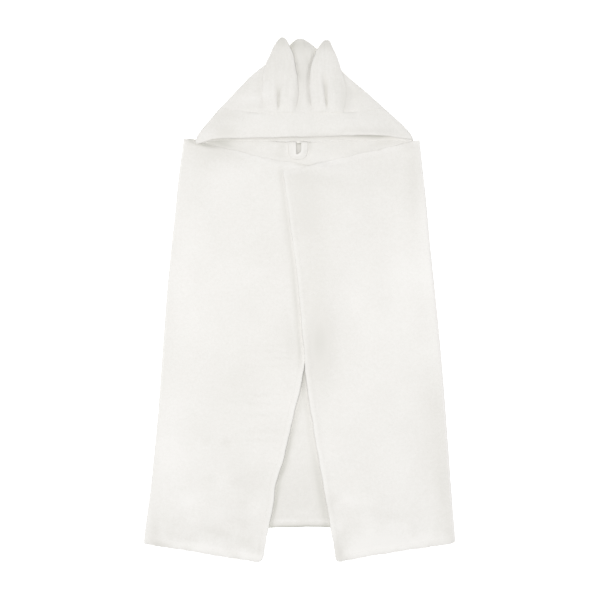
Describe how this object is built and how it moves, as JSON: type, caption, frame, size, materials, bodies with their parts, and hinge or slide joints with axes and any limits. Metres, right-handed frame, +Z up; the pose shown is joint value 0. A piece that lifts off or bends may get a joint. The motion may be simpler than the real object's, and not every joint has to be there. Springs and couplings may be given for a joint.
{
  "type": "hooded towel",
  "caption": "Child's hooded terry towel with pleated ears, laid flat with its sides folded to the front, a band along the hood's opening and a hanging loop at the neck.",
  "frame": {"origin": "middle of the footprint, on the surface that the towel lies on", "axes": "+Z up from the surface, +Y from the hem to the hood's peak, +X to the right as seen from above"},
  "size_m": [0.5739, 0.9747, 0.0237],
  "materials": {
    "terry": "off-white cotton terry with short loops",
    "tape": "off-white cotton tape"
  },
  "bodies": {
    "root": {"towel_body": "terry", "hood_back": "terry", "hood_crown": "terry", "hood_band": "terry", "ear_left": "terry", "ear_right": "terry", "hang_loop": "tape"}
  },
  "joints": []
}
